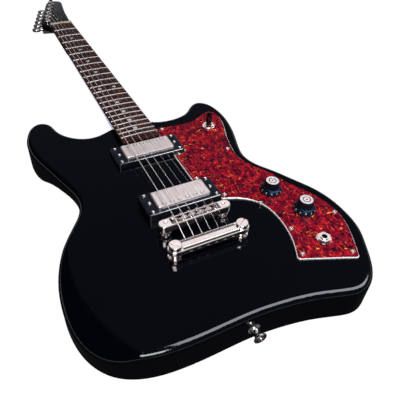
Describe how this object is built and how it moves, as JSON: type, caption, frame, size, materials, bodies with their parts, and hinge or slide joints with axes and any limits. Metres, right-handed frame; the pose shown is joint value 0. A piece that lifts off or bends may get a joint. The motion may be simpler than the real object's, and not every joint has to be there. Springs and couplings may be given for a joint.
{
  "type": "electric guitar",
  "caption": "Solid-body electric guitar with cutaway horns, covered pickups, stop tailpiece, tortoise pickguard and an in-line headstock.",
  "frame": {"origin": "on the flat back of the body, under the scale line at the bridge, on the centre line", "axes": "+X to the treble side, +Y from the bridge to the headstock, +Z out of the top"},
  "size_m": [0.3483, 0.982, 0.0697],
  "materials": {
    "black_lacquer": "gloss black lacquer over wood",
    "rosewood": "oiled rosewood, open grain",
    "fret_metal": "polished nickel silver",
    "pearl": "pearl plastic",
    "bone": "polished bone-like plastic",
    "steel": "plain steel",
    "nickel": "polished nickel plate",
    "wound_string": "nickel-wound string",
    "plain_string": "plain steel string",
    "tortoise": "red tortoise plastic with a pale bevelled edge",
    "black_plastic": "black moulded plastic",
    "bobbin_plastic": "black bobbins over a steel base",
    "control_metal": "plated sheet metal",
    "hookup_wire": "insulated wire and a film capacitor"
  },
  "bodies": {
    "guitar": {"body": "black_lacquer", "body_screws": "nickel", "bridge_beam": "nickel", "bridge_pickup_ring": "black_plastic", "bridge_pickup_springs": "steel", "bridge_posts": "nickel", "control_nuts": "nickel", "fretboard": "rosewood", "frets": "fret_metal", "headstock_screws": "nickel", "neck": "black_lacquer", "neck_pickup_ring": "black_plastic", "neck_pickup_springs": "steel", "nut": "bone", "output_jack": "nickel", "pickguard": "tortoise", "pickup_height_screws": "nickel", "position_dots": "pearl", "post_bushings": "steel", "pot_bodies": "control_metal", "saddle_screws": "nickel", "strap_buttons": "nickel", "strings_plain": "plain_string", "strings_wound": "wound_string", "switch_body": "control_metal", "tailpiece": "nickel", "tailpiece_studs": "nickel", "truss_rod": "steel", "truss_rod_cover": "black_plastic", "tuner_bushings": "nickel", "tuner_housings": "nickel", "wiring": "hookup_wire"},
    "tuner_key_1": {"tuner_key_1": "nickel"},
    "tuner_post_1": {"tuner_post_1": "nickel"},
    "saddle_1": {"saddle_1": "nickel"},
    "tuner_key_2": {"tuner_key_2": "nickel"},
    "tuner_post_2": {"tuner_post_2": "nickel"},
    "saddle_2": {"saddle_2": "nickel"},
    "tuner_key_3": {"tuner_key_3": "nickel"},
    "tuner_post_3": {"tuner_post_3": "nickel"},
    "saddle_3": {"saddle_3": "nickel"},
    "tuner_key_4": {"tuner_key_4": "nickel"},
    "tuner_post_4": {"tuner_post_4": "nickel"},
    "saddle_4": {"saddle_4": "nickel"},
    "tuner_key_5": {"tuner_key_5": "nickel"},
    "tuner_post_5": {"tuner_post_5": "nickel"},
    "saddle_5": {"saddle_5": "nickel"},
    "tuner_key_6": {"tuner_key_6": "nickel"},
    "tuner_post_6": {"tuner_post_6": "nickel"},
    "saddle_6": {"saddle_6": "nickel"},
    "neck_pickup": {"neck_pickup_cover": "nickel", "neck_pickup_core": "bobbin_plastic", "neck_pole_screws": "nickel"},
    "bridge_pickup": {"bridge_pickup_cover": "nickel", "bridge_pickup_core": "bobbin_plastic", "bridge_pole_screws": "nickel"},
    "volume_control": {"volume_knob": "black_plastic"},
    "tone_control": {"tone_knob": "black_plastic"},
    "selector": {"toggle_lever": "nickel", "toggle_tip": "black_plastic"}
  },
  "joints": [
    {"name": "tuner_key_1_turn", "type": "hinge", "parent": "guitar", "child": "tuner_key_1", "pos_m": [-0.01899, 0.67458, 0.01867], "axis": [-0.9626, 0.2702, -0.0209], "continuous": true},
    {"name": "tuner_post_1_turn", "type": "hinge", "parent": "guitar", "child": "tuner_post_1", "pos_m": [-0.02118, 0.66819, 0.03707], "axis": [0, 0.0773, 0.997], "continuous": true},
    {"name": "tuner_key_2_turn", "type": "hinge", "parent": "guitar", "child": "tuner_key_2", "pos_m": [-0.01182, 0.69951, 0.01674], "axis": [-0.9626, 0.2702, -0.0209], "continuous": true},
    {"name": "tuner_post_2_turn", "type": "hinge", "parent": "guitar", "child": "tuner_post_2", "pos_m": [-0.01401, 0.69312, 0.03514], "axis": [0, 0.0773, 0.997], "continuous": true},
    {"name": "tuner_key_3_turn", "type": "hinge", "parent": "guitar", "child": "tuner_key_3", "pos_m": [-0.00465, 0.72443, 0.01481], "axis": [-0.9626, 0.2702, -0.0209], "continuous": true},
    {"name": "tuner_post_3_turn", "type": "hinge", "parent": "guitar", "child": "tuner_post_3", "pos_m": [-0.00685, 0.71804, 0.03321], "axis": [0, 0.0773, 0.997], "continuous": true},
    {"name": "tuner_key_4_turn", "type": "hinge", "parent": "guitar", "child": "tuner_key_4", "pos_m": [0.00249, 0.74936, 0.01288], "axis": [-0.9626, 0.2702, -0.0209], "continuous": true},
    {"name": "tuner_post_4_turn", "type": "hinge", "parent": "guitar", "child": "tuner_post_4", "pos_m": [0.00029, 0.74297, 0.03128], "axis": [0, 0.0773, 0.997], "continuous": true},
    {"name": "tuner_key_5_turn", "type": "hinge", "parent": "guitar", "child": "tuner_key_5", "pos_m": [0.00958, 0.77429, 0.01094], "axis": [-0.9626, 0.2702, -0.0209], "continuous": true},
    {"name": "tuner_post_5_turn", "type": "hinge", "parent": "guitar", "child": "tuner_post_5", "pos_m": [0.00738, 0.76789, 0.02934], "axis": [0, 0.0773, 0.997], "continuous": true},
    {"name": "tuner_key_6_turn", "type": "hinge", "parent": "guitar", "child": "tuner_key_6", "pos_m": [0.01666, 0.79921, 0.00901], "axis": [-0.9626, 0.2702, -0.0209], "continuous": true},
    {"name": "tuner_post_6_turn", "type": "hinge", "parent": "guitar", "child": "tuner_post_6", "pos_m": [0.01446, 0.79282, 0.02741], "axis": [0, 0.0773, 0.997], "continuous": true},
    {"name": "saddle_1_slide", "type": "slide", "parent": "guitar", "child": "saddle_1", "axis": [-0.0262, 0.9997, 0], "range_m": [-0.0012, 0.0026]},
    {"name": "saddle_2_slide", "type": "slide", "parent": "guitar", "child": "saddle_2", "axis": [-0.0262, 0.9997, 0], "range_m": [-0.002, 0.0018]},
    {"name": "saddle_3_slide", "type": "slide", "parent": "guitar", "child": "saddle_3", "axis": [-0.0262, 0.9997, 0], "range_m": [-0.0027, 0.0011]},
    {"name": "saddle_4_slide", "type": "slide", "parent": "guitar", "child": "saddle_4", "axis": [-0.0262, 0.9997, 0], "range_m": [-0.0013, 0.0025]},
    {"name": "saddle_5_slide", "type": "slide", "parent": "guitar", "child": "saddle_5", "axis": [-0.0262, 0.9997, 0], "range_m": [-0.0021, 0.0017]},
    {"name": "saddle_6_slide", "type": "slide", "parent": "guitar", "child": "saddle_6", "axis": [-0.0262, 0.9997, 0], "range_m": [-0.0027, 0.0011]},
    {"name": "neck_pickup_height", "type": "slide", "parent": "guitar", "child": "neck_pickup", "axis": [0, 0, 1], "range_m": [-0.002, 0.002], "deforming": ["neck_pickup_springs"]},
    {"name": "bridge_pickup_height", "type": "slide", "parent": "guitar", "child": "bridge_pickup", "axis": [0, 0, 1], "range_m": [-0.002, 0.002], "deforming": ["bridge_pickup_springs"]},
    {"name": "volume_turn", "type": "hinge", "parent": "guitar", "child": "volume_control", "pos_m": [0.1125, 0.009, 0.047], "axis": [0, 0, 1], "range_deg": [-150, 150]},
    {"name": "tone_turn", "type": "hinge", "parent": "guitar", "child": "tone_control", "pos_m": [0.131, -0.037, 0.047], "axis": [0, 0, 1], "range_deg": [-150, 150]},
    {"name": "selector_tilt", "type": "hinge", "parent": "guitar", "child": "selector", "pos_m": [0.1067, 0.1701, 0.0435], "axis": [1, 0, 0], "range_deg": [-12, 12]}
  ],
  "couplings": [
    {"joint": "tuner_post_1_turn", "follows": "tuner_key_1_turn", "ratio": 0.071429},
    {"joint": "tuner_post_2_turn", "follows": "tuner_key_2_turn", "ratio": 0.071429},
    {"joint": "tuner_post_3_turn", "follows": "tuner_key_3_turn", "ratio": 0.071429},
    {"joint": "tuner_post_4_turn", "follows": "tuner_key_4_turn", "ratio": 0.071429},
    {"joint": "tuner_post_5_turn", "follows": "tuner_key_5_turn", "ratio": 0.071429},
    {"joint": "tuner_post_6_turn", "follows": "tuner_key_6_turn", "ratio": 0.071429}
  ]
}
